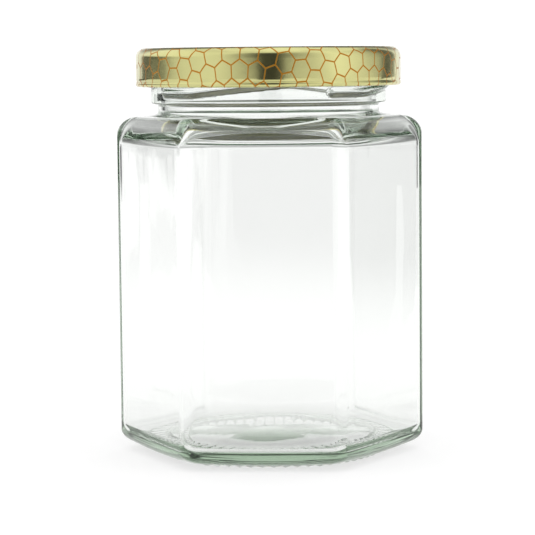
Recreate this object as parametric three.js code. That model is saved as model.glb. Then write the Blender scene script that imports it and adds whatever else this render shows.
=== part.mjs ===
// Hexagonal honey jar: an empty clear glass jar closed by a printed twist-off lid. Millimetres, +Z up.
// The origin is at the middle of the base, on the surface that the jar stands on. Two corners of the
// hexagon point along +X and -X, so the front flat faces -Y.
import * as THREE from "three";

const { clamp, degToRad, euclideanModulo, lerp, smoothstep } = THREE.MathUtils;

// Hexagonal body
const FLAT_TO_FLAT = 67;
const CORNER_ROUNDING = 3;
const WALL = 1.5;
const INNER_CORNER_ROUNDING = 3;

// Shoulder, neck and mouth
const SHOULDER_FOOT = 79.5;
const SHOULDER_ROUNDING = 4.8;
const SHOULDER_RISE = 0.5;
const SHOULDER_CORNER_ROUNDING = 9;
const INNER_SHOULDER_FOOT = 76.8;
const INNER_SHOULDER_ROUNDING = 5.4;
const NECK_RADIUS = 27.6;
const NECK_FILLET = 0.7;
const FINISH_RADIUS = 29.3;
const FINISH_BOTTOM = 87.4;
const FINISH_EDGE = 0.5;
const MOUTH_RADIUS = 26;
const MOUTH_FLARE_RISE = 0.25;
const RIM_HEIGHT = 100.5;
const RIM_ROUNDING = 0.9;

// Base: a knurled standing ring round a domed hollow, and a soft heel out to the hexagon
const KNURLS = 63;
const KNURL_DEPTH = 0.8;
const RING_INNER = 26;
const RING_OUTER = 27.4;
const HEEL_FOOT_RADIUS = 28.6;
const HEEL_FOOT_HEIGHT = 0.95;
const HEEL_TOP = 5;
const HEEL_CORNER_SHARE = 0.3;
const BEAD_KNURL_SHARE = 0.6;
const PUSH_UP = 3.6;
const HOLLOW_RADIUS = 25.2;
const HOLLOW_FOOT = 2.2;
const FLOOR_HEIGHT = 4.5;
const FLOOR_CROWN = 1.8;
const FLOOR_ROUNDING = 2.2;
const FLOOR_CORNER_SHARE = 0.9;

// Thread: four ridges that start level and then climb anticlockwise round the neck finish
const THREADS = 4;
const THREAD_START = degToRad(34.7);
const THREAD_SPAN = degToRad(103);
const THREAD_LEVEL = degToRad(20);
const THREAD_START_HEIGHT = 90.25;
const THREAD_CLIMB_PER_RADIAN = 3.1;
const THREAD_PROUD = 1;
const THREAD_HALF_HEIGHT = 1.2;
const THREAD_CREST = 0.2;
const THREAD_ZONE_BOTTOM = 88.9;
const THREAD_ZONE_TOP = 96.3;
const THREAD_STEP = 1.05;

// Lid: drawn sheet metal with a dropped panel, a rounded edge and a curled rim
const LID_RADIUS = 33;
const LID_BOTTOM = 91.6;
const LID_TOP = 101.2;
const LID_METAL = 0.4;
const LID_EDGE_ROUNDING = 2.4;
const PANEL_RADIUS = 24.2;
const PANEL_STEP = 1;
const PANEL_DROP = 0.7;
const CURL_RADIUS = 0.75;
const CURL_PROUD = 0.1;
const CURL_START = 75;
const CURL_END = 405;
const SKIRT_FOOT = 0.15;

// Lugs: places where the curl is pressed inwards to catch under the threads' upper ends
const LUG_ANGLE = degToRad(41.7);
const LUG_HALF_WIDTH = degToRad(9);
const LUG_FLAT = degToRad(3.5);
const LUG_REACH = 1.6;

const JAR_SEGMENTS = 2 * KNURLS;
const LID_SEGMENTS = 60;
const TAU = 2 * Math.PI;
const SIXTH = TAU / 6;
const APOTHEM = FLAT_TO_FLAT / 2;
const INNER_APOTHEM = APOTHEM - WALL;

// Hexagons that the glass follows. On the shoulder the corners ease from rounder ones at its top.
const OUTER_HEXAGON = { apothem: APOTHEM, fromRounding: CORNER_ROUNDING, toRounding: CORNER_ROUNDING };
const SHOULDER_HEXAGON = { ...OUTER_HEXAGON, fromRounding: SHOULDER_CORNER_ROUNDING };
const INNER_HEXAGON = {
  apothem: INNER_APOTHEM,
  fromRounding: INNER_CORNER_ROUNDING,
  toRounding: INNER_CORNER_ROUNDING,
};

function at(radius, height) {
  return new THREE.Vector2(radius, height);
}

// Points along an arc of an ellipse in the (radius, height) plane, with its angles in degrees.
function arc(centre, across, up, from, to, steps) {
  const curve = new THREE.EllipseCurve(
    centre.x, centre.y, across, up, degToRad(from), degToRad(to), to < from);
  return curve.getPoints(steps);
}

// Distance from the axis to a hexagon with rounded corners, in the direction of an angle.
function hexagonRadius(angle, apothem, rounding) {
  const fromCorner = Math.abs(angle - Math.round(angle / SIXTH) * SIXTH);
  const fromFlat = SIXTH / 2 - fromCorner;
  const straight = (apothem - rounding) * Math.tan(SIXTH / 2);
  if (fromFlat <= Math.atan2(straight, apothem)) {
    return apothem / Math.cos(fromFlat);
  }
  const arcCentre = (apothem - rounding) / Math.cos(SIXTH / 2);
  const aside = arcCentre * Math.sin(fromCorner);
  return arcCentre * Math.cos(fromCorner) + Math.sqrt(rounding ** 2 - aside ** 2);
}

// A run of profile points. Each takes a share of a hexagon's corners, which eases from one end of
// the run to the other like the rounding of those corners, and a share of the depth of the knurls.
function run(points, hexagon, fromShare, toShare, knurl = 0) {
  const last = Math.max(1, points.length - 1);
  return points.map((point, step) => {
    const eased = Math.sin((step / last) * (Math.PI / 2));
    const share = lerp(fromShare, toShare, eased);
    const rounding = lerp(hexagon.fromRounding, hexagon.toRounding, eased);
    return { radius: point.x, height: point.y, apothem: hexagon.apothem, rounding, share, knurl };
  });
}

// How far a thread ridge stands out of the finish: a bead with round ends along each rising line.
function threadBulge(angle, height) {
  let bulge = 0;
  for (let thread = 0; thread < THREADS; thread += 1) {
    const start = THREAD_START + (thread * TAU) / THREADS;
    const turned = euclideanModulo(angle - start + 1, TAU) - 1;
    const along = clamp(turned, 0, THREAD_SPAN);
    const climbed = Math.max(0, along - THREAD_LEVEL);
    const middle = THREAD_START_HEIGHT + THREAD_CLIMB_PER_RADIAN * climbed;
    const past = (turned - along) * FINISH_RADIUS;
    const away = Math.hypot(height - middle, past) / THREAD_HALF_HEIGHT;
    bulge = Math.max(bulge, THREAD_PROUD * (1 - smoothstep(away, THREAD_CREST, 1)));
  }
  return bulge;
}

// Turns a profile into a closed body, then moves each point to where place(angle, station) puts it.
function spin(stations, segments, place) {
  const profile = stations.map((station) => at(station.radius, station.height));
  const geometry = new THREE.LatheGeometry(profile, segments);
  const position = geometry.getAttribute("position");
  for (let index = 0; index < position.count; index += 1) {
    const station = stations[index % stations.length];
    const turn = Math.floor(index / stations.length) % segments;
    const angle = (turn * TAU) / segments;
    const { radius, height } = place(angle, station);
    position.setXYZ(index, radius * Math.cos(angle), radius * Math.sin(angle), height);
  }
  geometry.computeVertexNormals();
  return geometry;
}

// The outside of the glass, from the middle of the underside up to the rim.
function outerStations() {
  const beadWidth = HEEL_FOOT_RADIUS - RING_OUTER;
  const heelWidth = APOTHEM - HEEL_FOOT_RADIUS;
  const heelRise = HEEL_TOP - HEEL_FOOT_HEIGHT;
  const shoulderCentre = at(APOTHEM - SHOULDER_ROUNDING, SHOULDER_FOOT);
  const filletFoot = SHOULDER_FOOT + SHOULDER_ROUNDING + SHOULDER_RISE;
  const filletCentre = at(NECK_RADIUS + NECK_FILLET, filletFoot + NECK_FILLET);
  const rimCentre = at(FINISH_RADIUS - RIM_ROUNDING, RIM_HEIGHT - RIM_ROUNDING);
  const threadZone = [at(FINISH_RADIUS, FINISH_BOTTOM + FINISH_EDGE)];
  for (let height = THREAD_ZONE_BOTTOM; height < THREAD_ZONE_TOP; height += THREAD_STEP) {
    threadZone.push(at(FINISH_RADIUS, height));
  }
  const hollow = arc(at(0, HOLLOW_FOOT), HOLLOW_RADIUS, PUSH_UP - HOLLOW_FOOT, 60, 8, 2);
  const ring = [at(RING_INNER, 0), at(RING_OUTER, 0)];
  const bead = arc(at(RING_OUTER, HEEL_FOOT_HEIGHT), beadWidth, HEEL_FOOT_HEIGHT, -90, 0, 2).slice(1, -1);
  const heel = arc(at(HEEL_FOOT_RADIUS, HEEL_TOP), heelWidth, heelRise, -90, 0, 4);
  const shoulder = arc(shoulderCentre, SHOULDER_ROUNDING, SHOULDER_ROUNDING, 90, 0, 4);
  const neck = [
    ...arc(filletCentre, NECK_FILLET, NECK_FILLET, 270, 180, 2),
    at(NECK_RADIUS, FINISH_BOTTOM),
    at(FINISH_RADIUS - FINISH_EDGE, FINISH_BOTTOM),
  ];
  const rim = arc(rimCentre, RIM_ROUNDING, RIM_ROUNDING, 0, 90, 1);
  return [
    ...run([at(0, PUSH_UP), ...hollow], OUTER_HEXAGON, 0, 0),
    ...run(ring, OUTER_HEXAGON, 0, 0, 1),
    ...run(bead, OUTER_HEXAGON, 0, 0, BEAD_KNURL_SHARE),
    ...run(heel, OUTER_HEXAGON, HEEL_CORNER_SHARE, 1),
    ...run(shoulder, SHOULDER_HEXAGON, 1, 1).reverse(),
    ...run([...neck, ...threadZone, ...rim], OUTER_HEXAGON, 0, 0),
  ];
}

// The inside of the glass, from the mouth down to the middle of the floor.
function innerStations() {
  const shoulderRadius = INNER_APOTHEM - INNER_SHOULDER_ROUNDING;
  const shoulderCentre = at(shoulderRadius, INNER_SHOULDER_FOOT);
  const flare = (shoulderRadius - MOUTH_RADIUS) / 2;
  const flareFoot = INNER_SHOULDER_FOOT + INNER_SHOULDER_ROUNDING + MOUTH_FLARE_RISE;
  const flareCentre = at(MOUTH_RADIUS + flare, flareFoot + flare);
  const floorRadius = INNER_APOTHEM - FLOOR_ROUNDING;
  const bendCentre = at(floorRadius, FLOOR_HEIGHT + FLOOR_ROUNDING);
  const lipCentre = at(MOUTH_RADIUS + RIM_ROUNDING, RIM_HEIGHT - RIM_ROUNDING);
  const lip = arc(lipCentre, RIM_ROUNDING, RIM_ROUNDING, 90, 180, 1);
  const mouth = arc(flareCentre, flare, flare, 180, 270, 1);
  const shoulder = arc(shoulderCentre, INNER_SHOULDER_ROUNDING, INNER_SHOULDER_ROUNDING, 90, 0, 3);
  const bend = arc(bendCentre, FLOOR_ROUNDING, FLOOR_ROUNDING, 0, -90, 2);
  const floor = [2 / 3, 1 / 3, 0].map(
    (outwards) => at(outwards * floorRadius, FLOOR_HEIGHT + FLOOR_CROWN * (1 - outwards ** 2)));
  return [
    ...run(lip, INNER_HEXAGON, 0, 0),
    ...run(mouth, INNER_HEXAGON, 0, 0),
    ...run(shoulder, INNER_HEXAGON, 1, 1),
    ...run(bend, INNER_HEXAGON, 1, FLOOR_CORNER_SHARE),
    ...run(floor, INNER_HEXAGON, FLOOR_CORNER_SHARE / 2, 0),
  ];
}

function glassJar() {
  return spin([...outerStations(), ...innerStations()], JAR_SEGMENTS, (angle, station) => {
    const knurl = station.knurl * KNURL_DEPTH * Math.abs(Math.sin((angle * KNURLS) / 2));
    const onFinish = station.radius === FINISH_RADIUS;
    const bulge = onFinish ? threadBulge(angle, station.height) : 0;
    const corner = hexagonRadius(angle, station.apothem, station.rounding) - station.apothem;
    return {
      radius: station.radius + station.share * corner + bulge,
      height: station.height + knurl,
    };
  });
}

function lid() {
  const curlCentre = at(LID_RADIUS + CURL_PROUD - CURL_RADIUS, LID_BOTTOM + CURL_RADIUS);
  const edgeCentre = at(LID_RADIUS - LID_EDGE_ROUNDING, LID_TOP - LID_EDGE_ROUNDING);
  const insideRounding = LID_EDGE_ROUNDING - LID_METAL;
  const curlTop = curlCentre.y + CURL_RADIUS;
  const panelTop = LID_TOP - PANEL_DROP;
  const profile = [
    at(0, panelTop - LID_METAL),
    at(PANEL_RADIUS, panelTop - LID_METAL),
    at(PANEL_RADIUS + PANEL_STEP, LID_TOP - LID_METAL),
    ...arc(edgeCentre, insideRounding, insideRounding, 90, 0, 2),
    ...arc(curlCentre, CURL_RADIUS, CURL_RADIUS, CURL_START, CURL_END, 8),
    at(LID_RADIUS, curlTop + SKIRT_FOOT),
    ...arc(edgeCentre, LID_EDGE_ROUNDING, LID_EDGE_ROUNDING, 0, 90, 3),
    at(PANEL_RADIUS + PANEL_STEP, LID_TOP),
    at(PANEL_RADIUS, panelTop),
    at(0, panelTop),
  ];
  const lugSpacing = TAU / THREADS;
  return spin(run(profile, OUTER_HEXAGON, 0, 0), LID_SEGMENTS, (angle, station) => {
    const onCurl = station.height < curlTop && station.radius < curlCentre.x;
    const fromLug = euclideanModulo(angle - LUG_ANGLE + lugSpacing / 2, lugSpacing) - lugSpacing / 2;
    const pressed = onCurl ? 1 - smoothstep(Math.abs(fromLug), LUG_FLAT, LUG_HALF_WIDTH) : 0;
    return { radius: station.radius - LUG_REACH * pressed, height: station.height };
  });
}

function named(name, geometry, material) {
  const mesh = new THREE.Mesh(geometry, material);
  mesh.name = name;
  return mesh;
}

const clearGlass = new THREE.MeshStandardMaterial({ color: 0xdfeae0, roughness: 0.05, metalness: 0 });
const goldLacquer = new THREE.MeshStandardMaterial({ color: 0xcdc98c, roughness: 0.3, metalness: 0.9 });

const honeyJar = new THREE.Group();
honeyJar.add(named("glass_jar", glassJar(), clearGlass));
honeyJar.add(named("lid", lid(), goldLacquer));

export default honeyJar;
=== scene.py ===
"""Hexagonal honey jar: the clear glass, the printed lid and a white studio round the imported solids.

Every length is in metres, +Z is up, and the jar stands on the floor with its axis on the origin.
"""

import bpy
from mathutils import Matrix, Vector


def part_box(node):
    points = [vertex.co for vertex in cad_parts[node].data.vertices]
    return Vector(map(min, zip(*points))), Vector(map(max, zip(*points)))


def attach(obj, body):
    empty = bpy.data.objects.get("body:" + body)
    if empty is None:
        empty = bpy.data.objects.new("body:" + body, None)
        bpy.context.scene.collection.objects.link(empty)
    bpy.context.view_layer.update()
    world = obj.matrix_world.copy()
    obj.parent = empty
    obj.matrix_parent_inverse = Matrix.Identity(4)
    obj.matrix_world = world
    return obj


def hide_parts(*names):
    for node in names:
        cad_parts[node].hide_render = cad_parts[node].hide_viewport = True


bl_info = {
    "name": "Hexagonal Honey Jar",
    "version": (1, 0, 0),
    "blender": (4, 5, 0),
    "location": "View3D > Sidebar > Honey Jar",
    "description": "Makes an empty hexagonal glass jar with a printed twist-off lid and its studio",
    "category": "Add Mesh",
}

import math

import bpy
import numpy as np
from mathutils import Matrix, Vector

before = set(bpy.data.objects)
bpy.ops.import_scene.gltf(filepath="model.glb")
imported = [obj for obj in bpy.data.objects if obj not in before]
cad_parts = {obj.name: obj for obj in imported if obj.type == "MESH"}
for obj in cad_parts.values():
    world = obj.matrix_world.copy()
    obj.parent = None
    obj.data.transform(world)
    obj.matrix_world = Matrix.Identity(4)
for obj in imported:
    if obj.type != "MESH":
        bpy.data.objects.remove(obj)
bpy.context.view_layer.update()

MM = 0.001
SIXTH = math.pi / 3
JAR_LOW, JAR_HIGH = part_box("glass_jar")
LID_LOW, LID_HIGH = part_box("lid")


# Properties

def length(name, description, default):
    """A size in metres that a user can change."""
    return bpy.props.FloatProperty(
        name=name, description=description, default=default, unit="LENGTH", subtype="DISTANCE", precision=5)


def share(name, description, default):
    """A plain fraction from 0 to 1."""
    return bpy.props.FloatProperty(
        name=name, description=description, default=default, min=0, max=1, subtype="FACTOR")


def turn(name, description, degrees):
    """An angle, given in degrees."""
    return bpy.props.FloatProperty(
        name=name, description=description, default=math.radians(degrees), unit="ROTATION", subtype="ANGLE")


def colour(name, description, default):
    """A linear colour."""
    return bpy.props.FloatVectorProperty(
        name=name, description=description, default=default, min=0, max=1, size=3, subtype="COLOR")


def number(name, description, default):
    """A plain number."""
    return bpy.props.FloatProperty(name=name, description=description, default=default)


def count(name, description, default):
    """A whole number of like things."""
    return bpy.props.IntProperty(name=name, description=description, default=default, min=1)


class GlassProperties(bpy.types.PropertyGroup):
    """Sizes and tint of the glass jar."""

    flat_to_flat: length("Flat to flat", "Width of the hexagon across its flats", JAR_HIGH.y - JAR_LOW.y)
    corner_rounding: length("Corner rounding", "Radius of the hexagon's six corners", 3 * MM)
    wall: length("Wall", "Thickness of the glass in the flats", 1.5 * MM)
    inner_corner_rounding: length("Inner corners", "Radius of the corners inside the jar", 3 * MM)
    shoulder_foot: length("Shoulder foot", "Height at which the flats end", 79.5 * MM)
    shoulder_rounding: length("Shoulder rounding", "Radius of the bend from flat to shoulder", 4.8 * MM)
    shoulder_rise: length("Shoulder rise", "How far the shoulder climbs towards the neck", 0.5 * MM)
    shoulder_corners: length("Shoulder corners", "Radius of the corners on top of the shoulder", 9 * MM)
    inner_shoulder_foot: length("Inner shoulder foot", "Height at which the wall bends inside", 76.8 * MM)
    inner_shoulder_rounding: length("Inner shoulder", "Radius of the bend inside the shoulder", 5.4 * MM)
    neck_radius: length("Neck radius", "Radius of the plain neck", 27.6 * MM)
    neck_fillet: length("Neck fillet", "Radius of the bend from shoulder to neck", 0.7 * MM)
    finish_radius: length("Finish radius", "Radius of the threaded part of the neck", 29.3 * MM)
    finish_bottom: length("Finish bottom", "Height of the step under the threaded part", 87.4 * MM)
    finish_edge: length("Finish edge", "Rounding of that step", 0.5 * MM)
    mouth_radius: length("Mouth radius", "Radius of the opening", 26 * MM)
    mouth_rise: length("Mouth rise", "Rise from the inner shoulder to the bend of the mouth", 0.09 * MM)
    rim_height: length("Rim height", "Height of the glass rim", JAR_HIGH.z)
    rim_rounding: length("Rim rounding", "Radius of the rim's edges", 0.9 * MM)
    knurls: count("Knurls", "Teeth round the standing ring", 63)
    knurl_depth: length("Knurl depth", "Depth of the gaps between the teeth", 0.8 * MM)
    ring_inner: length("Ring inner radius", "Inner radius of the standing ring", 26 * MM)
    ring_outer: length("Ring outer radius", "Outer radius of the standing ring's flat", 27.4 * MM)
    heel_foot_radius: length("Heel foot radius", "Radius at which the heel meets the ring", 28.6 * MM)
    heel_foot_height: length("Heel foot height", "Height at which the heel meets the ring", 0.95 * MM)
    heel_top: length("Heel top", "Height at which the flats begin", 5 * MM)
    heel_corner_share: share("Heel corners", "Share of the hexagon's corners at the heel's foot", 0.3)
    push_up: length("Push-up", "Height of the hollow under the base", 3.6 * MM)
    hollow_radius: length("Hollow radius", "Radius of the hollow under the base", 25.2 * MM)
    hollow_foot: length("Hollow foot", "Height at which the hollow's dome springs", 2.2 * MM)
    floor_height: length("Floor height", "Height of the floor inside", 4.5 * MM)
    floor_crown: length("Floor crown", "Extra height in the middle of the floor", 1.8 * MM)
    floor_rounding: length("Floor rounding", "Radius of the bend from wall to floor", 2.2 * MM)
    floor_corner_share: share("Floor corners", "Share of the inner corners at the floor", 0.9)
    threads: count("Threads", "Thread ridges round the neck", 4)
    thread_start: turn("Thread start", "Direction of the first ridge's lower end", 34.7)
    thread_span: turn("Thread span", "Angle that one ridge covers", 103)
    thread_start_height: length("Thread height", "Height of a ridge's lower end", 90.25 * MM)
    thread_level: turn("Thread level", "Angle over which a ridge starts out level", 20)
    thread_climb: length("Thread climb", "Rise of a ridge for each radian", 3.1 * MM)
    thread_proud: length("Thread depth", "How far a ridge stands out", 1 * MM)
    thread_half_height: length("Thread half height", "Half the height of a ridge", 1.2 * MM)
    unevenness: length("Unevenness", "Swell of the blown inner wall", 0.12 * MM)
    outer_unevenness: share("Outer unevenness", "Share of that swell on the outside", 0.3)
    floor_unevenness: share("Floor unevenness", "Share of that swell at the edge of the floor", 0.5)
    tint: colour("Tint", "Colour that thick glass takes", (0.18, 0.4, 0.17))
    tint_density: number("Tint density", "Absorption for each metre of glass", 21)


class LidProperties(bpy.types.PropertyGroup):
    """Sizes and finish of the lid."""

    radius: length("Radius", "Radius of the skirt", 33 * MM)
    bottom: length("Bottom", "Height of the lid's lower edge", LID_LOW.z)
    top: length("Top", "Height of the lid's top", LID_HIGH.z)
    metal: length("Metal", "Thickness of the sheet", 0.4 * MM)
    edge_rounding: length("Edge rounding", "Radius of the bend from top to skirt", 2.4 * MM)
    panel_radius: length("Panel radius", "Radius of the dropped panel", 24.2 * MM)
    panel_step: length("Panel step", "Width of the slope round the panel", 1 * MM)
    panel_drop: length("Panel drop", "Depth of the dropped panel", 0.7 * MM)
    curl_radius: length("Curl radius", "Radius of the rolled rim", 0.75 * MM)
    curl_proud: length("Curl proud", "How far the curl stands out of the skirt", 0.1 * MM)
    skirt_foot: length("Skirt foot", "Height from the curl up to the straight skirt", 0.15 * MM)
    lugs: count("Lugs", "Places where the curl is pressed in", 4)
    lug_angle: turn("Lug direction", "Direction of the first lug", 41.7)
    lug_half_width: turn("Lug half width", "Half the angle of a lug", 9)
    lug_flat: turn("Lug flat", "Half the angle that is pressed in fully", 3.5)
    lug_reach: length("Lug reach", "How far a lug is pressed in", 1.6 * MM)
    gold: colour("Gold", "Lacquer on the metal", (0.64, 0.62, 0.27))
    gold_shade: share("Gold shade", "Brightness of the lacquer's darker clouds", 0.86)
    ink: colour("Ink", "Printed honeycomb lines", (0.42, 0.165, 0.001))
    inside: colour("Inside", "Lacquer on the inside of the lid", (0.3, 0.3, 0.15))
    cell: length("Cell", "Width of a printed cell across its flats", 4.573 * MM)
    line: length("Line", "Width of a printed line", 0.33 * MM)
    print_angle: turn("Print turn", "Direction that a cell's corner points in", 20.5)
    print_across: length("Print across", "Shift of the print in the sheet, across the cells", 3.12 * MM)
    print_along: length("Print along", "Shift of the print in the sheet, along the cells", 1.55 * MM)


class StageProperties(bpy.types.PropertyGroup):
    """Camera and studio."""

    camera_distance: length("Camera distance", "From the jar's axis to the camera", 541.6 * MM)
    camera_height: length("Camera height", "Height of the camera", 97.94 * MM)
    camera_turn: turn("Camera turn", "Direction of the camera round the jar", 3.22)
    camera_pan: turn("Camera pan", "Turn of the camera away from the jar's axis", -0.067)
    camera_pitch: turn("Camera pitch", "How far the camera looks down", 5.476)
    camera_roll: turn("Camera roll", "Tilt of the picture", 0.524)
    camera_lens: number("Lens", "Focal length in millimetres on a 36 mm sensor", 145.38)
    backdrop: number("Backdrop", "Brightness of the white surroundings", 1.1)
    floor_white: colour("Floor", "Colour of the floor", (0.4, 0.4, 0.4))
    floor_glow: number("Floor glow", "Light that comes through the floor from below", 0.64)


# Node trees

class Wire:
    """A socket of a node tree. Arithmetic on it adds Math nodes to that tree."""

    def __init__(self, tree, socket=None):
        self.tree = tree
        self.socket = socket

    def node(self, kind, settings=None, inputs=None, out=0):
        """Adds any node: its settings first, then the values or wires of its inputs."""
        made = self.tree.nodes.new(kind)
        for name, value in (settings or {}).items():
            setattr(made, name, value)
        for name, value in (inputs or {}).items():
            if isinstance(value, Wire):
                self.tree.links.new(value.socket, made.inputs[name])
            else:
                made.inputs[name].default_value = value
        return Wire(self.tree, made.outputs[out]) if made.outputs else Wire(self.tree)

    def math(self, operation, *values):
        """One Math node on these values."""
        return self.node("ShaderNodeMath", {"operation": operation}, dict(enumerate(values)))

    def ease(self, low, high, from_value=0.0, to_value=1.0):
        """A smooth step from one value to another as this goes from low to high."""
        values = {0: self, 1: low, 2: high, 3: from_value, 4: to_value}
        return self.node("ShaderNodeMapRange", {"interpolation_type": "SMOOTHSTEP"}, values)

    def mix(self, factor, first, second):
        """A colour between two colours."""
        return self.node("ShaderNodeMix", {"data_type": "RGBA"}, {0: factor, 6: first, 7: second}, out=2)

    def parts(self):
        """The three parts of a vector."""
        split = self.node("ShaderNodeSeparateXYZ", None, {0: self}).socket.node
        return [Wire(self.tree, socket) for socket in split.outputs]

    def stretched(self, upwards):
        """A place for a pattern that is drawn out, or pressed together, along the jar's height."""
        return self.node("ShaderNodeVectorMath", {"operation": "MULTIPLY"}, {0: self, 1: (1, 1, upwards)})

    def noise(self, scale, detail):
        """Soft noise at this place."""
        return self.node("ShaderNodeTexNoise", None, {"Vector": self, "Scale": scale, "Detail": detail})

    def __add__(self, other):
        return self.math("ADD", self, other)

    def __radd__(self, other):
        return self.math("ADD", other, self)

    def __sub__(self, other):
        return self.math("SUBTRACT", self, other)

    def __rsub__(self, other):
        return self.math("SUBTRACT", other, self)

    def __mul__(self, other):
        return self.math("MULTIPLY", self, other)

    def __rmul__(self, other):
        return self.math("MULTIPLY", other, self)

    def __truediv__(self, other):
        return self.math("DIVIDE", self, other)

    def __rtruediv__(self, other):
        return self.math("DIVIDE", other, self)

    def __abs__(self):
        return self.math("ABSOLUTE", self)


def larger(first, second):
    """The larger of two values."""
    return first.math("MAXIMUM", first, second)


def smaller(first, second):
    """The smaller of two values."""
    return first.math("MINIMUM", first, second)


def shape_tree(name, sizes):
    """A Geometry Nodes tree with one named input for each size, and the wires to build it from."""
    tree = bpy.data.node_groups.new(name, "GeometryNodeTree")
    tree.interface.new_socket("Geometry", in_out="INPUT", socket_type="NodeSocketGeometry")
    tree.interface.new_socket("Geometry", in_out="OUTPUT", socket_type="NodeSocketGeometry")
    for size in sizes:
        tree.interface.new_socket(size, in_out="INPUT", socket_type="NodeSocketFloat")
    start = tree.nodes.new("NodeGroupInput")
    wires = {socket.name: Wire(tree, socket) for socket in start.outputs if socket.name}
    return tree, wires


def end_shape_tree(shape, offset, material):
    """Moves the points by the offset and closes the tree with smooth shading and the material."""
    moved = shape.node("GeometryNodeSetPosition", None, {"Geometry": shape, "Offset": offset})
    smooth = shape.node("GeometryNodeSetShadeSmooth", None, {"Geometry": moved})
    real = shape.node("GeometryNodeRealizeInstances", None, {"Geometry": smooth})
    finished = shape.node("GeometryNodeSetMaterial", None, {"Geometry": real, "Material": material})
    shape.node("NodeGroupOutput", None, {0: finished})


def attribute(shape, name):
    """A number stored on the points of a shape."""
    return shape.node("GeometryNodeInputNamedAttribute", {"data_type": "FLOAT"}, {"Name": name})


def shaped_piece(piece, tree, settings):
    """Runs a Geometry Nodes tree on a piece and keeps the result as its plain mesh.

    The tree's inputs take the settings that have the same names.
    """
    sizes = {each.name: getattr(settings, each.identifier) for each in settings.bl_rna.properties}
    modifier = piece.modifiers.new("Shape", "NODES")
    modifier.node_group = tree
    for item in tree.interface.items_tree:
        if item.in_out == "INPUT" and item.socket_type == "NodeSocketFloat":
            modifier[item.identifier] = float(sizes[item.name])
    evaluated = piece.evaluated_get(bpy.context.evaluated_depsgraph_get())
    finished = bpy.data.meshes.new_from_object(evaluated)
    piece.modifiers.remove(modifier)
    piece.data = finished
    if len(finished.polygons) == 0:
        raise RuntimeError(f"{piece.name} came out empty")
    return piece


def new_material(name):
    """An empty material, and a wire to build its nodes from."""
    material = bpy.data.materials.new(name)
    material.use_nodes = True
    material.node_tree.nodes.clear()
    return material, Wire(material.node_tree)


# Spun profiles

SAME_POINT = 0.005 * MM


def arc(centre, across, up, start, end, steps):
    """Points along an arc of an ellipse in the (radius, height) plane, with its angles in degrees."""
    angles = np.radians(np.linspace(start, end, steps + 1))
    return [(centre[0] + across * math.cos(a), centre[1] + up * math.sin(a)) for a in angles]


def line(start, end, steps):
    """Points along a straight stretch."""
    start, end = np.array(start), np.array(end)
    return [tuple(start + (end - start) * way) for way in np.linspace(0, 1, steps + 1)]


def run(points, **ends):
    """A stretch of profile: each point with values that ease from one end of the stretch to the other."""
    last = max(1, len(points) - 1)
    stations = []
    for step, (radius, height) in enumerate(points):
        way = math.sin(step / last * math.pi / 2)
        values = {name: a + (b - a) * way for name, (a, b) in ends.items()}
        stations.append({"radius": radius, "height": height, **values})
    return stations


def apart(first, second):
    """Distance between two points of a profile."""
    return math.hypot(first["radius"] - second["radius"], first["height"] - second["height"])


def joined(runs):
    """All stretches as one profile, without the points that repeat where two stretches meet."""
    stations = []
    for station in (station for stretch in runs for station in stretch):
        if stations and apart(station, stations[-1]) < SAME_POINT:
            stations[-1] = {**stations[-1], **station}
        else:
            stations.append(station)
    return stations


def spun_piece(name, stations, segments, attributes):
    """A closed body of revolution: a profile from the axis back to the axis, with values on its points."""
    inner = stations[1:-1]
    angles = np.arange(segments) * (2 * math.pi / segments)
    radii = np.array([station["radius"] for station in inner])
    heights = np.array([station["height"] for station in inner])
    level = np.repeat(heights[:, None], segments, 1)
    rings = np.stack([np.outer(radii, np.cos(angles)), np.outer(radii, np.sin(angles)), level], axis=2)
    poles = [(0, 0, stations[0]["height"]), (0, 0, stations[-1]["height"])]
    points = np.concatenate([rings.reshape(-1, 3), np.array(poles)])
    here = np.arange(segments)
    after = (here + 1) % segments
    faces = []
    for ring in range(len(inner) - 1):
        low, high = ring * segments, (ring + 1) * segments
        faces.extend(np.stack([low + here, low + after, high + after, high + here], axis=1).tolist())
    first_pole, last_pole = len(points) - 2, len(points) - 1
    top = (len(inner) - 1) * segments
    faces.extend([first_pole, int(b), int(a)] for a, b in zip(here, after))
    faces.extend([last_pole, int(top + a), int(top + b)] for a, b in zip(here, after))
    mesh = bpy.data.meshes.new(name)
    mesh.from_pydata(points.tolist(), [], faces)
    for label in attributes:
        values = [station.get(label, 0.0) for station in inner]
        ends = [stations[0].get(label, 0.0), stations[-1].get(label, 0.0)]
        every_point = np.concatenate([np.repeat(values, segments), ends])
        stored = mesh.attributes.new(label, "FLOAT", "POINT")
        stored.data.foreach_set("value", every_point.astype(np.float32))
    mesh.update()
    piece = bpy.data.objects.new(name, mesh)
    bpy.context.scene.collection.objects.link(piece)
    return piece


# Glass

# Degrees by which the hollow's dome stops short of level
DOME_EDGE = 8
# Radians that are kept free before a thread ridge for its round end
THREAD_LEAD = 0.2
# Share of a ridge's half height that has its full depth
THREAD_CREST = 0.2
SEGMENTS_PER_KNURL = 6

# How closely the noise repeats, and how far it is drawn out along the height
SWELL_SCALE, SWELL_STRETCH = 55.0, 0.35
DRAW_SCALE, DRAW_STRETCH = 90.0, 0.3
HAZE_SCALE = 240.0
GLASS_IOR = 1.51


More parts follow.
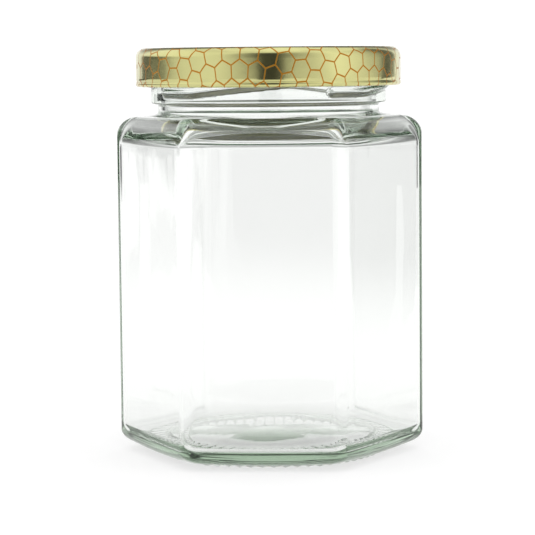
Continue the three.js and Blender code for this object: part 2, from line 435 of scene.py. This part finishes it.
def glass_outside(glass):
    """The outside of the glass, from the middle of the underside up to the rim."""
    apothem = glass.flat_to_flat / 2
    corners, top_corners = glass.corner_rounding, glass.shoulder_corners
    hexagon = {"apothem": (apothem, apothem), "rounding": (corners, corners)}
    shoulder_hexagon = {**hexagon, "rounding": (top_corners, corners)}
    top_hexagon = {**hexagon, "rounding": (top_corners, top_corners)}

    dome_rise = glass.push_up - glass.hollow_foot
    dome = arc((0, glass.hollow_foot), glass.hollow_radius, dome_rise, 90, DOME_EDGE, 14)
    ring_inner, ring_outer = (glass.ring_inner, 0), (glass.ring_outer, 0)
    bead = (glass.ring_outer, glass.heel_foot_height)
    bead_bend = arc(bead, glass.heel_foot_radius - glass.ring_outer, glass.heel_foot_height, -90, 0, 6)
    heel = (glass.heel_foot_radius, glass.heel_top)
    heel_bend = arc(heel, apothem - heel[0], glass.heel_top - glass.heel_foot_height, -90, 0, 14)
    heel_share = glass.heel_corner_share

    shoulder = (apothem - glass.shoulder_rounding, glass.shoulder_foot)
    shoulder_bend = arc(shoulder, glass.shoulder_rounding, glass.shoulder_rounding, 90, 0, 14)
    flat = line((apothem, heel[1]), (apothem, shoulder[1]), 20)
    outer_swell = (glass.outer_unevenness, glass.outer_unevenness)
    fillet_foot = glass.shoulder_foot + glass.shoulder_rounding + glass.shoulder_rise
    fillet = (glass.neck_radius + glass.neck_fillet, fillet_foot + glass.neck_fillet)
    step_inner = (glass.neck_radius, glass.finish_bottom)
    step_outer = (glass.finish_radius - glass.finish_edge, glass.finish_bottom)
    edge = (step_outer[0], glass.finish_bottom + glass.finish_edge)
    rim = (glass.finish_radius - glass.rim_rounding, glass.rim_height - glass.rim_rounding)
    return [
        run(dome),
        run(line(dome[-1], ring_inner, 6), knurl=(0, 1)),
        run(line(ring_inner, ring_outer, 4), knurl=(1, 1)),
        run(bead_bend, knurl=(1, 0), corner=(0, heel_share), **hexagon),
        run(heel_bend, corner=(heel_share, 1), **hexagon),
        run(flat, corner=(1, 1), swell=outer_swell, **hexagon),
        run(shoulder_bend, corner=(1, 1), **shoulder_hexagon)[::-1],
        run(line(shoulder_bend[0], (fillet[0], fillet_foot), 6), corner=(1, 0), **top_hexagon),
        run(arc(fillet, glass.neck_fillet, glass.neck_fillet, 270, 180, 6)),
        run(line((glass.neck_radius, fillet[1]), step_inner, 3)),
        run(line(step_inner, step_outer, 3)),
        run(arc(edge, glass.finish_edge, glass.finish_edge, -90, 0, 5)),
        run(line((glass.finish_radius, edge[1]), (glass.finish_radius, rim[1]), 36), finish=(1, 1)),
        run(arc(rim, glass.rim_rounding, glass.rim_rounding, 0, 90, 6)),
    ]


def glass_inside(glass):
    """The inside of the glass, from the mouth down to the middle of the floor, which is a parabola."""
    apothem = glass.flat_to_flat / 2 - glass.wall
    corners = glass.inner_corner_rounding
    hexagon = {"apothem": (apothem, apothem), "rounding": (corners, corners)}

    lip = (glass.mouth_radius + glass.rim_rounding, glass.rim_height - glass.rim_rounding)
    shoulder = (apothem - glass.inner_shoulder_rounding, glass.inner_shoulder_foot)
    shoulder_bend = arc(shoulder, glass.inner_shoulder_rounding, glass.inner_shoulder_rounding, 90, 0, 16)
    flare = (shoulder[0] - glass.mouth_radius) / 2
    flare_foot = (glass.mouth_radius + flare, shoulder_bend[0][1] + glass.mouth_rise)
    flare_centre = (flare_foot[0], flare_foot[1] + flare)

    bend = (apothem - glass.floor_rounding, glass.floor_height + glass.floor_rounding)
    floor_bend = arc(bend, glass.floor_rounding, glass.floor_rounding, 0, -90, 12)
    floor_share = glass.floor_corner_share
    floor_swell = glass.floor_unevenness
    inwards = np.linspace(0, math.pi / 2, 13)
    floor = [
        (bend[0] * math.cos(t), glass.floor_height + glass.floor_crown * math.sin(t) ** 2) for t in inwards]
    return [
        run(arc(lip, glass.rim_rounding, glass.rim_rounding, 90, 180, 6)),
        run(line((glass.mouth_radius, lip[1]), (glass.mouth_radius, flare_centre[1]), 6)),
        run(arc(flare_centre, flare, flare, 180, 270, 4)),
        run(line(flare_foot, shoulder_bend[0], 6), corner=(0, 1), **hexagon),
        run(shoulder_bend, corner=(1, 1), swell=(0, 1), **hexagon),
        run(line((apothem, shoulder[1]), (apothem, bend[1]), 30), corner=(1, 1), swell=(1, 1), **hexagon),
        run(floor_bend, corner=(1, floor_share), swell=(1, floor_swell), **hexagon),
        run(floor, corner=(floor_share, 0), swell=(floor_swell, 0), **hexagon),
    ]


def hexagon_corner(angle, apothem, rounding):
    """How far a hexagon with rounded corners stands out past its flats, in the direction of an angle."""
    half = SIXTH / 2
    from_corner = angle.math("PINGPONG", angle, half)
    from_flat = half - from_corner
    straight = (apothem - rounding) * math.tan(half)
    on_flat = angle.math("LESS_THAN", from_flat, angle.math("ARCTAN2", straight, apothem))
    flat = apothem / angle.math("COSINE", from_flat)
    arc_centre = (apothem - rounding) / math.cos(half)
    aside = arc_centre * angle.math("SINE", from_corner)
    room = larger(rounding * rounding - aside * aside, 0.0)
    corner = arc_centre * angle.math("COSINE", from_corner) + angle.math("SQRT", room)
    return on_flat * flat + (1 - on_flat) * corner - apothem


def thread_ridge(turned, height, size):
    """How far one thread ridge stands out: a bead with round ends along a rising line."""
    along = smaller(larger(turned, 0.0), size["Thread span"])
    middle = size["Thread height"] + size["Thread climb"] * larger(along - size["Thread level"], 0.0)
    past = (turned - along) * size["Finish radius"]
    above = height - middle
    away = turned.math("SQRT", above * above + past * past) / size["Thread half height"]
    return size["Thread depth"] * away.ease(THREAD_CREST, 1.0, 1.0, 0.0)


def glass_tree(material):
    """Presses the spun glass into its hexagon, and adds the thread, the knurls and the wall's swell."""
    tree, size = shape_tree("Glass jar shape", [
        "Knurls", "Knurl depth", "Threads", "Thread start", "Thread span", "Thread height", "Thread climb",
        "Thread depth", "Thread half height", "Thread level", "Finish radius", "Unevenness"])
    shape = size["Geometry"]
    position = shape.node("GeometryNodeInputPosition")
    x, y, height = position.parts()
    angle = shape.math("ARCTAN2", y, x)
    corner = hexagon_corner(angle, attribute(shape, "apothem"), attribute(shape, "rounding"))

    spacing = 2 * math.pi / size["Threads"]
    from_start = angle - size["Thread start"] + THREAD_LEAD
    turned = shape.math("FLOORED_MODULO", from_start, spacing) - THREAD_LEAD
    lower = thread_ridge(turned, height, size)
    upper = thread_ridge(turned + spacing, height, size)
    ridges = larger(lower, upper)

    swell = (position.stretched(SWELL_STRETCH).noise(SWELL_SCALE, 1.0) - 0.5) * 2 * size["Unevenness"]
    outwards = (attribute(shape, "corner") * corner + attribute(shape, "finish") * ridges
                + attribute(shape, "swell") * swell)
    gap = abs(shape.math("SINE", angle * size["Knurls"] / 2))
    upwards = attribute(shape, "knurl") * size["Knurl depth"] * gap
    offset = shape.node("ShaderNodeCombineXYZ", None, {
        0: outwards * shape.math("COSINE", angle), 1: outwards * shape.math("SINE", angle), 2: upwards})
    end_shape_tree(shape, offset, material)
    return tree


def clear_glass(glass):
    """Soda-lime glass: clear where thin, pale green where thick, with a faint draw in its skin."""
    material, wire = new_material("clear_glass")
    place = wire.node("ShaderNodeTexCoord", out="Object")
    draw = place.stretched(DRAW_STRETCH).noise(DRAW_SCALE, 2.0)
    bump = wire.node("ShaderNodeBump", None, {"Strength": 0.08, "Distance": 0.3 * MM, "Height": draw})
    haze = place.noise(HAZE_SCALE, 3.0).ease(0.55, 0.8, 0.0, 0.03)
    shader = wire.node("ShaderNodeBsdfPrincipled", None, {
        "Base Color": (1, 1, 1, 1),
        "Roughness": haze,
        "IOR": GLASS_IOR,
        "Transmission Weight": 1.0,
        "Normal": bump,
    })
    volume = wire.node("ShaderNodeVolumeAbsorption", None, {
        "Color": (*glass.tint, 1), "Density": glass.tint_density})
    wire.node("ShaderNodeOutputMaterial", None, {"Surface": shader, "Volume": volume})
    return material


class HONEYJAR_OT_glass(bpy.types.Operator):
    """Makes the hexagonal glass jar as one closed shell with its thread, knurled base and hollow inside"""

    bl_idname = "honeyjar.glass"
    bl_label = "Glass Jar"

    def execute(self, context):
        glass = context.scene.honeyjar_glass
        stations = joined(glass_outside(glass) + glass_inside(glass))
        labels = ["corner", "apothem", "rounding", "finish", "knurl", "swell"]
        jar = spun_piece("hexagonal_glass", stations, SEGMENTS_PER_KNURL * glass.knurls, labels)
        shaped_piece(jar, glass_tree(clear_glass(glass)), glass)
        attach(jar, "root")
        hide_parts("glass_jar")
        return {"FINISHED"}


# Lid

# Degrees round the curl at which the sheet's inside and outside run into it
CURL_START, CURL_END = 75, 405
LID_SEGMENTS = 360

# How closely the noise in the lacquer, its skin and the edge of the ink repeats
CLOUD_SCALE = 60.0
SKIN_SCALE = 700.0
BLEED_SCALE = 900.0


def lid_profile(lid):
    """The lid's sheet, from the middle of its underside round the curl to the middle of its top."""
    curl = (lid.radius + lid.curl_proud - lid.curl_radius, lid.bottom + lid.curl_radius)
    curl_top = curl[1] + lid.curl_radius
    inner_curl = arc(curl, lid.curl_radius, lid.curl_radius, CURL_START, 180, 8)
    under_curl = arc(curl, lid.curl_radius, lid.curl_radius, 180, 270, 8)
    outer_curl = arc(curl, lid.curl_radius, lid.curl_radius, 270, CURL_END, 12)
    edge = (lid.radius - lid.edge_rounding, lid.top - lid.edge_rounding)
    inside = lid.edge_rounding - lid.metal
    inner_radius = lid.radius - lid.metal
    skirt_foot = (lid.radius, curl_top + lid.skirt_foot)
    top, panel = lid.top, lid.top - lid.panel_drop
    under_top, under_panel = top - lid.metal, panel - lid.metal
    step = lid.panel_radius + lid.panel_step
    return [
        run(line((0, under_panel), (lid.panel_radius, under_panel), 6)),
        run(line((lid.panel_radius, under_panel), (step, under_top), 4)),
        run(line((step, under_top), (edge[0], under_top), 4)),
        run(arc(edge, inside, inside, 90, 0, 10)),
        run(line((inner_radius, edge[1]), (inner_radius, curl_top), 6)),
        run(inner_curl, curl=(1, 1)),
        run(under_curl, curl=(1, 0)),
        run(outer_curl, printed=(1, 1)),
        run(line(outer_curl[-1], skirt_foot, 3), printed=(1, 1)),
        run(line(skirt_foot, (lid.radius, edge[1]), 12), printed=(1, 1)),
        run(arc(edge, lid.edge_rounding, lid.edge_rounding, 0, 90, 16), printed=(1, 1)),
        run(line((edge[0], top), (step, top), 6), printed=(1, 1)),
        run(line((step, top), (lid.panel_radius, panel), 8), printed=(1, 1)),
        run(line((lid.panel_radius, panel), (0, panel), 8), printed=(1, 1)),
    ]


def with_sheet_radius(stations):
    """Adds to each point its radius in the flat sheet that the lid was drawn from, which kept its area."""
    area = 0.0
    after = stations[-1]
    for station in reversed(stations):
        area += math.pi * (station["radius"] + after["radius"]) * apart(station, after)
        station["sheet"] = math.sqrt(area / math.pi) if station.get("printed") else 0.0
        after = station
    return stations


def lid_tree(material):
    """Presses the lugs into the lid's curl."""
    tree, size = shape_tree("Lid shape", [
        "Lugs", "Lug direction", "Lug half width", "Lug flat", "Lug reach"])
    shape = size["Geometry"]
    x, y, _ = shape.node("GeometryNodeInputPosition").parts()
    angle = shape.math("ARCTAN2", y, x)
    spacing = 2 * math.pi / size["Lugs"]
    turned = shape.math("FLOORED_MODULO", angle - size["Lug direction"] + spacing / 2, spacing)
    pressed = abs(turned - spacing / 2).ease(size["Lug flat"], size["Lug half width"], 1.0, 0.0)
    inwards = attribute(shape, "curl") * pressed * size["Lug reach"] * -1
    offset = shape.node("ShaderNodeCombineXYZ", None, {
        0: inwards * shape.math("COSINE", angle), 1: inwards * shape.math("SINE", angle)})
    end_shape_tree(shape, offset, material)
    return tree


def honeycomb_edge(x, y, cell):
    """Distance to the nearest edge of a honeycomb whose cells have flats on left and right."""
    row = cell * math.sqrt(3)

    def folded(value, period, start):
        return value.math("FLOORED_MODULO", value + start, period) - period / 2

    near_x, near_y = folded(x, cell, 0), folded(y, row, 0)
    far_x, far_y = folded(x, cell, cell / 2), folded(y, row, row / 2)
    near = x.math("LESS_THAN", near_x * near_x + near_y * near_y, far_x * far_x + far_y * far_y)
    cell_x = abs(near * near_x + (1 - near) * far_x)
    cell_y = abs(near * near_y + (1 - near) * far_y)
    return cell / 2 - larger(cell_x, cell_x / 2 + cell_y * math.cos(SIXTH / 2))


def printed_ink(lid, place, printed):
    """Where the honeycomb lines are, printed on the flat sheet that the lid was then drawn from."""
    sheet = place.node("ShaderNodeAttribute", {"attribute_name": "sheet"}, out="Fac")
    x, y, _ = place.parts()
    outwards = larger(place.math("SQRT", x * x + y * y), 0.01 * MM)
    flat_x, flat_y = x / outwards * sheet, y / outwards * sheet
    turned = lid.print_angle - math.pi / 2
    across = flat_x * math.cos(turned) + flat_y * math.sin(turned) - lid.print_across
    along = flat_y * math.cos(turned) - flat_x * math.sin(turned) - lid.print_along
    bleed = place.noise(BLEED_SCALE, 2.0)
    half_line = (0.8 + 0.4 * bleed) * (lid.line / 2)
    return (honeycomb_edge(across, along, lid.cell) / half_line).ease(0.7, 1.3, 1.0, 0.0) * printed


def gold_lacquer(lid):
    """Pale gold lacquer on sheet steel with thin printed honeycomb lines."""
    material, wire = new_material("gold_lacquer")
    place = wire.node("ShaderNodeTexCoord", out="Object")
    printed = wire.node("ShaderNodeAttribute", {"attribute_name": "printed"}, out="Fac")
    ink = printed_ink(lid, place, printed)

    clouds = place.noise(CLOUD_SCALE, 3.0).ease(0.35, 0.65)
    shaded_gold = [lid.gold_shade * part for part in lid.gold]
    gold = wire.mix(clouds, (*lid.gold, 1), (*shaded_gold, 1))
    base = wire.mix(printed, (*lid.inside, 1), wire.mix(ink, gold, (*lid.ink, 1)))
    skin = place.noise(SKIN_SCALE, 2.0)
    bump = wire.node("ShaderNodeBump", None, {
        "Strength": 0.12, "Distance": 0.05 * MM, "Height": skin + ink * 0.6})
    shader = wire.node("ShaderNodeBsdfPrincipled", None, {
        "Base Color": base,
        "Metallic": printed * (1 - 0.35 * ink),
        "Roughness": 0.12 + 0.08 * skin + 0.25 * ink,
        "Coat Weight": 0.3 * (1 - ink),
        "Coat Roughness": 0.08,
        "Normal": bump,
    })
    wire.node("ShaderNodeOutputMaterial", None, {"Surface": shader})
    return material


class HONEYJAR_OT_lid(bpy.types.Operator):
    """Makes the twist-off lid from one profile, with its lugs and printed finish"""

    bl_idname = "honeyjar.lid"
    bl_label = "Lid"

    def execute(self, context):
        lid = context.scene.honeyjar_lid
        stations = with_sheet_radius(joined(lid_profile(lid)))
        cap = spun_piece("twist_off_lid", stations, LID_SEGMENTS, ["curl", "printed", "sheet"])
        shaped_piece(cap, lid_tree(gold_lacquer(lid)), lid)
        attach(cap, "root")
        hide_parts("lid")
        return {"FINISHED"}


# Stage

# Directions are degrees round the jar, to the right of the camera as the camera sees it. Lengths are
# metres, and a brightness of 1 is white in the picture.
DARK = 0.01
CARD_TOP = 0.075
FLOOR_REACH = 8.0
# Brightness at which the strips of painted floor shade start, next to the jar
FLOOR_BRIGHTNESS = 1.07

# Cards in front of the jar and behind it on the right, with strips of painted floor shade that lead to them:
# glowing cards just above the floor that darken away from the jar, which only the glass and the lid show,
# while the floor itself stays evenly white
FRONT_CARD = {"directions": np.linspace(-9, 13, 12), "distance": 1.1}
FRONT_FLOOR_SHADE = {"directions": FRONT_CARD["directions"], "near": 0.12, "far": 1.1, "fade": (0.22, 0.66)}
RIGHT_CARD = {"directions": np.linspace(115, 131, 9), "distance": 1.2}
RIGHT_FLOOR_SHADE = {"directions": [115, 117, 119], "near": 0.1, "far": 1.2, "fade": (0.17, 0.6)}
RIGHT_ASIDE = -0.033

# Card behind the jar on the left: its lower edge by direction, and the height over which it darkens
LEFT_DISTANCE = 1.0
LEFT_EDGE = [
    (-150, 0.0), (-129.6, 0.0), (-129.4, 0.056), (-128.1, 0.036), (-126.8, 0.0), (-126.6, 0.05), (-98, 0.056)]
LEFT_FADE = 0.018

# Gap above the white backdrop: its brightness by height, and how far from straight behind it fades
BACKDROP_DISTANCE = 1.5
BACKDROP = [(0.36, 1.1), (0.5, 0.5), (0.7, 0.15), (1.7, 0.15), (2.4, 1.0)]
BACKDROP_DIRECTIONS = np.linspace(130, 230, 21)
BACKDROP_FADE = (15, 48)

# Wall of soft boxes and dark gaps round the jar: its brightness by direction, and its top, which is
# low on the left, with white above it
SURROUND_DISTANCE = 1.1
SURROUND = [
    (-140, 0.4), (-134, 0.18), (-104, 0.16), (-86, 0.75), (-58, 1.16), (-40, 1.1), (-6, 0.08),
    (6, 0.03), (25, 0.6), (60, 1.24), (88, 0.9), (107, 0.57), (121, 0.14), (134, 0.2), (140, 0.3)]
SURROUND_COLUMNS = 120
SURROUND_HEIGHTS = [CARD_TOP, 0.085, 0.1, 0.15, 0.2, 0.3, 0.45, 0.7, 1.0, 1.4]
SURROUND_FOOT = {"low": 0.08, "high": 0.1, "start": 0.1, "end": 0.0}
SURROUND_TOP = ([-60, -20], [0.2, 0.9])
SURROUND_TOP_FADE = 1.6
ABOVE_SURROUND = 1.2


def stage_piece(name, points, faces, material):
    """A piece of the studio, which isn't part of the jar."""
    mesh = bpy.data.meshes.new(name)
    mesh.from_pydata(points, [], faces)
    mesh.materials.append(material)
    piece = bpy.data.objects.new(name, mesh)
    bpy.context.scene.collection.objects.link(piece)
    return piece


def plain_floor(stage):
    """A wide white floor."""
    material, wire = new_material("white_floor")
    shader = wire.node("ShaderNodeBsdfPrincipled", None, {
        "Base Color": (*stage.floor_white, 1), "Roughness": 0.9, "Specular IOR Level": 0.0,
        "Emission Color": (1, 1, 1, 1), "Emission Strength": stage.floor_glow})
    wire.node("ShaderNodeOutputMaterial", None, {"Surface": shader})
    corners = [(-1, -1), (1, -1), (1, 1), (-1, 1)]
    points = [(FLOOR_REACH * x, FLOOR_REACH * y, 0) for x, y in corners]
    stage_piece("floor", points, [(0, 1, 2, 3)], material)


def around(stage, degrees, distance, height, aside=0.0):
    """A place round the jar: degrees to the right of the camera, as seen from the camera."""
    angle = stage.camera_turn + math.radians(degrees)
    sine, cosine = math.sin(angle), math.cos(angle)
    return (distance * sine + aside * cosine, aside * sine - distance * cosine, height)


def eased(value, low, high, start, end):
    """A smooth step from one number to another as a value goes from low to high."""
    way = min(1.0, max(0.0, (value - low) / (high - low)))
    return start + (end - start) * way * way * (3 - 2 * way)


def studio_card(stage, name, columns, aside=0.0):
    """A card that only shiny and clear surfaces see.

    A column is a direction in degrees with the (distance, height, brightness) places along it.
    """
    material, wire = new_material(name)
    glow = wire.node("ShaderNodeAttribute", {"attribute_name": "glow"}, out="Fac")
    light = wire.node("ShaderNodeEmission", None, {"Color": glow})
    wire.node("ShaderNodeOutputMaterial", None, {"Surface": light})
    places = [(degrees, *place) for degrees, column in columns for place in column]
    points = [around(stage, degrees, distance, height, aside) for degrees, distance, height, _ in places]
    rows = len(columns[0][1])
    faces = [(k, k + rows, k + rows + 1, k + 1) for k in range(len(points) - rows) if (k + 1) % rows]
    card = stage_piece(name, points, faces, material)
    stored = card.data.attributes.new("glow", "FLOAT", "POINT")
    stored.data.foreach_set("value", [brightness for _, _, _, brightness in places])
    card.visible_camera = False
    card.visible_diffuse = False
    card.visible_shadow = False


def standing(directions, distance):
    """Columns of a dark card that stands on the floor."""
    return [(degrees, [(distance, 0.0, DARK), (distance, CARD_TOP, DARK)]) for degrees in directions]


def painted_floor_shade(directions, near, far, fade):
    """Columns of a strip of painted floor shade: a glowing card just above the floor that darkens away from
    the jar, seen only in reflections and through the glass.
    """
    reaches = np.linspace(near, far, 16)
    column = [(reach, MM, eased(reach, *fade, FLOOR_BRIGHTNESS, DARK)) for reach in reaches]
    return [(degrees, column) for degrees in directions]


def left_columns():
    """Columns of the card on the left. The slope in its edge greys the top of the left flat."""
    columns = []
    for degrees, edge in LEFT_EDGE:
        heights = [(edge, 1.0), (edge + LEFT_FADE, DARK), (CARD_TOP, DARK)]
        columns.append((degrees, [(LEFT_DISTANCE, height, level) for height, level in heights]))
    return columns


def backdrop_columns(stage):
    """Columns of the gap above the white backdrop, behind the jar, which fades out to both sides."""
    columns = []
    for degrees in BACKDROP_DIRECTIONS:
        from_behind = abs(degrees - 180)
        column = []
        for height, level in BACKDROP:
            glow = eased(from_behind, *BACKDROP_FADE, level, stage.backdrop)
            column.append((BACKDROP_DISTANCE, height, glow))
        columns.append((degrees, column))
    return columns


def surround_columns():
    """Columns of the wall of soft boxes and dark gaps that the lid mirrors."""
    directions, brightness = zip(*SURROUND)
    columns = []
    for degrees in np.linspace(directions[0], directions[-1], SURROUND_COLUMNS):
        level = np.interp(degrees, directions, brightness)
        top = np.interp(degrees, *SURROUND_TOP)
        column = []
        for height in SURROUND_HEIGHTS:
            wall = max(level, eased(height, **SURROUND_FOOT))
            glow = eased(height, top, SURROUND_TOP_FADE * top, wall, ABOVE_SURROUND)
            column.append((SURROUND_DISTANCE, height, glow))
        columns.append((degrees, column))
    return columns


def studio_cards(stage):
    """All the cards round the jar."""
    studio_card(stage, "dark_front", standing(**FRONT_CARD))
    # Painted floor shade: the floor darkens away from the jar only in reflections and through the glass
    studio_card(stage, "front_floor_shade", painted_floor_shade(**FRONT_FLOOR_SHADE))
    studio_card(stage, "dark_left", left_columns())
    studio_card(stage, "dark_right", standing(**RIGHT_CARD), RIGHT_ASIDE)
    studio_card(stage, "right_floor_shade", painted_floor_shade(**RIGHT_FLOOR_SHADE), RIGHT_ASIDE)
    studio_card(stage, "surround", surround_columns())
    studio_card(stage, "dark_back", backdrop_columns(stage))


def white_world(stage):
    """White surroundings."""
    world = bpy.data.worlds.new("studio")
    world.use_nodes = True
    background = world.node_tree.nodes["Background"]
    background.inputs["Color"].default_value = (1, 1, 1, 1)
    background.inputs["Strength"].default_value = stage.backdrop
    bpy.context.scene.world = world


def soft_light(name, power, width, height, place, target):
    """A large soft box that points at a place."""
    data = bpy.data.lights.new(name, "AREA")
    data.shape = "RECTANGLE"
    data.size = width
    data.size_y = height
    data.energy = power
    lamp = bpy.data.objects.new(name, data)
    lamp.location = place
    lamp.rotation_euler = (Vector(target) - Vector(place)).to_track_quat("-Z", "Y").to_euler()
    lamp.visible_camera = False
    bpy.context.scene.collection.objects.link(lamp)


def photo_camera(stage):
    """The camera that the picture was taken with."""
    data = bpy.data.cameras.new("camera")
    data.sensor_width = 36
    data.lens = stage.camera_lens
    camera = bpy.data.objects.new("camera", data)
    aim = Matrix.Rotation(stage.camera_turn - stage.camera_pan, 4, "Z")
    tilt = Matrix.Rotation(math.pi / 2 - stage.camera_pitch, 4, "X")
    roll = Matrix.Rotation(-stage.camera_roll, 4, "Z")
    before_jar = Vector((0, -stage.camera_distance, stage.camera_height))
    spot = Matrix.Rotation(stage.camera_turn, 4, "Z") @ before_jar
    camera.matrix_world = Matrix.Translation(spot) @ aim @ tilt @ roll
    bpy.context.scene.collection.objects.link(camera)
    bpy.context.scene.camera = camera


class HONEYJAR_OT_stage(bpy.types.Operator):
    """Sets up the white floor, the soft light and the camera"""

    bl_idname = "honeyjar.stage"
    bl_label = "Stage"

    def execute(self, context):
        stage = context.scene.honeyjar_stage
        photo_camera(stage)
        plain_floor(stage)
        white_world(stage)
        context.scene.view_settings.view_transform = "Standard"
        studio_cards(stage)
        soft_light("top_box", power=0.4, width=0.9, height=0.9, place=(0, 0, 1.2), target=(0, 0, 0))
        context.scene.cycles.max_bounces = 64
        context.scene.cycles.transmission_bounces = 64
        context.scene.cycles.glossy_bounces = 48
        return {"FINISHED"}


# Add-on

class HONEYJAR_PT_sidebar(bpy.types.Panel):
    """Lists the jar's sizes and finishes with the buttons that make its pieces"""

    bl_idname = "HONEYJAR_PT_sidebar"
    bl_label = "Honey Jar"
    bl_space_type = "VIEW_3D"
    bl_region_type = "UI"
    bl_category = "Honey Jar"

    def draw(self, context):
        for operator, group in PIECES:
            box = self.layout.box()
            box.operator(operator.bl_idname)
            for name in GROUPS[group].__annotations__:
                box.prop(getattr(context.scene, group), name)


GROUPS = {
    "honeyjar_glass": GlassProperties,
    "honeyjar_lid": LidProperties,
    "honeyjar_stage": StageProperties,
}
PIECES = [
    (HONEYJAR_OT_glass, "honeyjar_glass"),
    (HONEYJAR_OT_lid, "honeyjar_lid"),
    (HONEYJAR_OT_stage, "honeyjar_stage"),
]
CLASSES = [*GROUPS.values(), *(operator for operator, _ in PIECES), HONEYJAR_PT_sidebar]


def register():
    for each in CLASSES:
        bpy.utils.register_class(each)
    for name, group in GROUPS.items():
        setattr(bpy.types.Scene, name, bpy.props.PointerProperty(type=group))


def unregister():
    for name in GROUPS:
        delattr(bpy.types.Scene, name)
    for each in reversed(CLASSES):
        bpy.utils.unregister_class(each)


def main():
    register()
    bpy.ops.honeyjar.stage()
    bpy.ops.honeyjar.glass()
    bpy.ops.honeyjar.lid()


if __name__ == "__main__":
    main()
